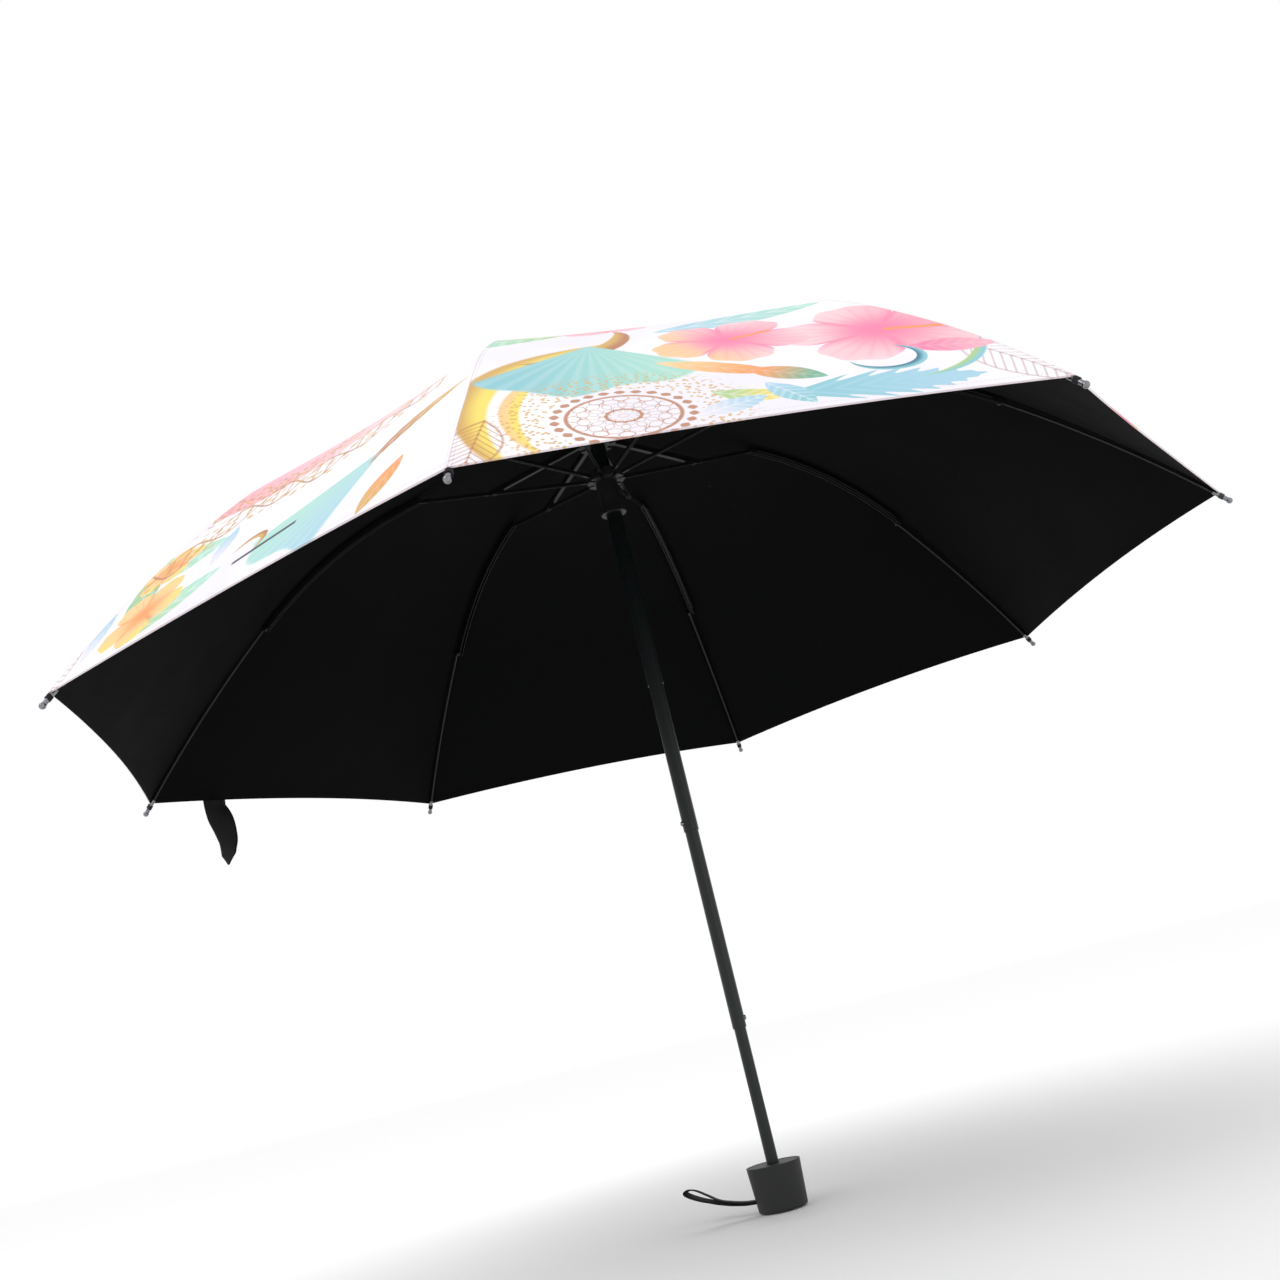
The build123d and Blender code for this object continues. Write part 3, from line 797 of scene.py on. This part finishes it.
def tape(name, line, half_widths, level, twists, thick, material):
    """A woven tape along a line, turned about it away from level; returns it and its length."""
    points, faces, places = [], [], []
    travelled = 0.0
    ring = 2 * TAPE_COLUMNS
    for number, centre in enumerate(line):
        before, after = line[max(number - 1, 0)], line[min(number + 1, len(line) - 1)]
        ahead = (after - before).normalized()
        travelled += (centre - line[max(number - 1, 0)]).length
        across = (level - ahead * level.dot(ahead)).normalized()
        across = Matrix.Rotation(twists[number], 3, ahead) @ across
        face = ahead.cross(across)
        shares = steps(-1, 1, TAPE_COLUMNS - 1)
        for side, order in ((1, shares), (-1, shares[::-1])):
            for share in order:
                body = thick / 2 * (1 - TAPE_EDGE_THIN * share ** TAPE_EDGE_POWER)
                points.append(centre + across * half_widths[number] * share + face * side * body)
                places.append((half_widths[number] * share, travelled))
        if number:
            here, back = number * ring, (number - 1) * ring
            for n in range(ring):
                nxt = (n + 1) % ring
                faces.append((back + n, back + nxt, here + nxt, here + n))
    faces.append(tuple(range(ring - 1, -1, -1)))
    faces.append(tuple(len(points) - ring + n for n in range(ring)))
    mesh = bpy.data.meshes.new(name)
    mesh.from_pydata([tuple(p) for p in points], [], faces)
    mesh.materials.append(material)
    layer = mesh.uv_layers.new(name="weave")
    for loop, uv in zip(mesh.loops, layer.data):
        uv.uv = places[loop.vertex_index]
    for polygon in mesh.polygons:
        polygon.use_smooth = len(polygon.vertices) == 4
    return add_object(name, mesh), travelled


WRIST_HALF_WIDTH = 0.005
WRIST_THICK = 0.0011
WRIST_LINE = (
    (0, -0.0130, 0.0094), (0, -0.0200, 0.0092), (0.0003, -0.0280, 0.0099), (0.0005, -0.0380, 0.0121),
    (0.0005, -0.0475, 0.0153), (0.0002, -0.0560, 0.0208), (0, -0.0635, 0.0254),
    (-0.0002, -0.0690, 0.0268), (0, -0.0722, 0.0254), (0.0002, -0.0695, 0.0228),
    (0.0002, -0.0620, 0.0188), (0, -0.0550, 0.0160), (0, -0.0475, 0.0131), (0, -0.0380, 0.0103),
    (0, -0.0280, 0.0083), (0, -0.0200, 0.0076), (0, -0.0130, 0.0076),
)
WRIST_TWIST = math.radians(9)


def make_wrist_strap(material):
    """A limp ribbon loop: two plies together at the handle that part into an eye."""
    line = smooth_line([Vector(p) for p in WRIST_LINE])
    count = len(line) - 1
    twists = [WRIST_TWIST * math.sin(math.pi * n / count) ** 2 for n in range(count + 1)]
    widths = [WRIST_HALF_WIDTH] * len(line)
    level = Vector((1, 0, 0))
    piece, length = tape("wrist_strap_ribbon", line, widths, level, twists, WRIST_THICK, material)
    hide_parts("wrist_strap")
    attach(piece, "handle")


TIE_HALF_TOP, TIE_HALF_TIP = 0.0125, 0.0075
TIE_THICK = 0.0010
# Along the hem from rib 6's corner, down from the hem, and the turn in degrees away from the hem.
TIE_STATIONS = (
    (0.0665, -0.005, 0), (0.0670, 0.004, 6), (0.0725, 0.018, 42), (0.0750, 0.028, 54),
    (0.0760, 0.036, 62), (0.0745, 0.046, 74), (0.0722, 0.058, 84),
)
# The strap narrows over this last share of its length, and its end stays this much off a point.
TIE_POINT, TIE_BLUNT = 0.15, 0.02
TIE_INSIDE_HEM = 0.001


def make_tie_strap(material):
    """The tapered strap that hangs from the hem near rib 6, twisting edge-on towards its point."""
    turns = [PITCH * rib for rib in (6, 5)]
    corner, far = [Vector((math.cos(t), math.sin(t), 0)) * CORNER.x for t in turns]
    hem = (far - corner).normalized()
    outward = hem.cross(UP)
    outward = outward if outward.dot(corner) > 0 else -outward
    origin = corner + UP * CORNER.y - outward * TIE_INSIDE_HEM
    stations = [Vector((*(origin + hem * s - UP * d), math.radians(t))) for s, d, t in TIE_STATIONS]
    smooth = smooth_line(stations)
    line, twists = [p.xyz for p in smooth], [p.w for p in smooth]
    shares = [n / (len(line) - 1) for n in range(len(line))]
    widths = [TIE_HALF_TOP + (TIE_HALF_TIP - TIE_HALF_TOP) * share for share in shares]
    widths = [w * min(1, (1 + TIE_BLUNT - share) / TIE_POINT) for w, share in zip(widths, shares)]
    piece, length = tape("tie_strap_ribbon", line, widths, hem, twists, TIE_THICK, material)
    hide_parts("tie_strap")
    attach(piece, "outer_rib_6")
    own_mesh(piece)
    area = sum((a + b) * (q - p).length for a, b, p, q in zip(widths, widths[1:], line, line[1:]))


# ---- thread that whips the canopy's corners to the rib tips ----

WHIP_TURNS, WHIP_STEPS, WHIP_RING = 5, 12, 6
WHIP_PITCH = 0.0008
WHIP_THREAD_R = 0.00035
WHIP_GAP = 0.0004
TIP_CAP_R = 0.0018
# The thread's axis is the cloth's direction over this many of its last steps.
LAST_STEPS = 5


def whipping(rib, material):
    """A few turns of black thread round a rib tip, just past the cloth."""
    end, before = MERIDIAN[-1], MERIDIAN[-1 - LAST_STEPS]
    ahead = Vector((end[1] - before[1], 0, end[2] - before[2])).normalized()
    centre = Vector((CORNER.x, SIDE_AT_TIP, CORNER.y)) + ahead * WHIP_GAP
    side = Vector((0, 1, 0))
    top = ahead.cross(side)
    radius = TIP_CAP_R + WHIP_THREAD_R
    turn = Matrix.Rotation(PITCH * rib, 3, "Z")
    points, faces = [], []
    total = WHIP_TURNS * WHIP_STEPS
    for step in range(total + 1):
        angle = math.tau * step / WHIP_STEPS
        spoke = side * math.cos(angle) + top * math.sin(angle)
        core = centre + ahead * (WHIP_PITCH * step / WHIP_STEPS) + spoke * radius
        for n in range(WHIP_RING):
            around = math.tau * n / WHIP_RING
            offset = spoke * math.cos(around) + ahead * math.sin(around)
            points.append(turn @ (core + offset * WHIP_THREAD_R))
        if step:
            here, back = step * WHIP_RING, (step - 1) * WHIP_RING
            for n in range(WHIP_RING):
                nxt = (n + 1) % WHIP_RING
                faces.append((back + n, here + n, here + nxt, back + nxt))
    faces += [tuple(range(WHIP_RING)), tuple(len(points) - 1 - n for n in range(WHIP_RING))]
    mesh = bpy.data.meshes.new(f"corner_thread_{rib}")
    mesh.from_pydata([tuple(p) for p in points], [], faces)
    mesh.materials.append(material)
    for polygon in mesh.polygons:
        polygon.use_smooth = True
    piece = add_object(mesh.name, mesh)
    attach(piece, f"outer_rib_{rib}")


# ---- stage ----

FLOOR_SIZE, FLOOR_Z = 30, -0.001
STUDIO = (0.98, 0.98, 0.98)
LIGHTS_AIM = Vector((0, 0, 0.5))
# Each light's name, place, size and power.
LIGHTS = (
    ("key", (1.6, -1.2, 2.2), 1.2, 12),
    ("fill", (1.2, 1.6, 0.7), 1.4, 3),
    ("back", (-1.8, -0.4, 1.6), 1.2, 5),
)


def make_stage():
    bpy.ops.mesh.primitive_plane_add(size=FLOOR_SIZE, location=(0, 0, FLOOR_Z))
    floor = bpy.context.object
    floor.name = "floor"
    graph = Graph("pale_floor")
    graph.finish(Base_Color=STUDIO, Roughness=0.9)
    floor.data.materials.append(graph.material)
    world = bpy.data.worlds.new("studio")
    world.use_nodes = True
    background = world.node_tree.nodes["Background"]
    background.inputs[0].default_value = (1, 1, 1, 1)
    background.inputs[1].default_value = 1.0
    bpy.context.scene.world = world
    bpy.context.scene.view_settings.view_transform = "Standard"
    for name, place, size, power in LIGHTS:
        data = bpy.data.lights.new(name, "AREA")
        data.energy, data.size = power, size
        light = add_object(name, data)
        light.location = place
        light.rotation_euler = (Vector(place) - LIGHTS_AIM).to_track_quat("Z", "Y").to_euler()


def paint_frame(lining, ribbon):
    """Gives every CAD node its finish, by the record's material slot."""
    finishes = {
        "handle_plastic": moulded("handle_plastic", (0.0060, 0.0066, 0.0066), 0.52),
        "frame_plastic": moulded("frame_plastic", (0.0050, 0.0054, 0.0054), 0.40),
        "tube_metal": lacquered("black_tube", (0.0040, 0.0068, 0.0070), 0.30, 0.08),
        "rib_metal": lacquered("black_ribs", (0.0040, 0.0045, 0.0046), 0.38, 0.03),
        "bright_metal": plated(),
        "canopy_fabric": lining,
        "webbing": ribbon,
    }
    for row in frame["record"]["subparts"]:
        node = frame["nodes"][row["node"]]
        for index in range(len(node.material_slots)):
            node.material_slots[index].material = finishes[row["material_slot"]]


LINING, RIBBON = black_lining(), ribbon_material()
THREAD = moulded("black_thread", (0.006, 0.006, 0.007), 0.7)
make_camera()
paint_frame(LINING, RIBBON)
make_canopy(printed_satin(), LINING)
make_wrist_strap(RIBBON)
make_tie_strap(RIBBON)
for rib_number in range(RIBS):
    whipping(rib_number, THREAD)
make_stage()
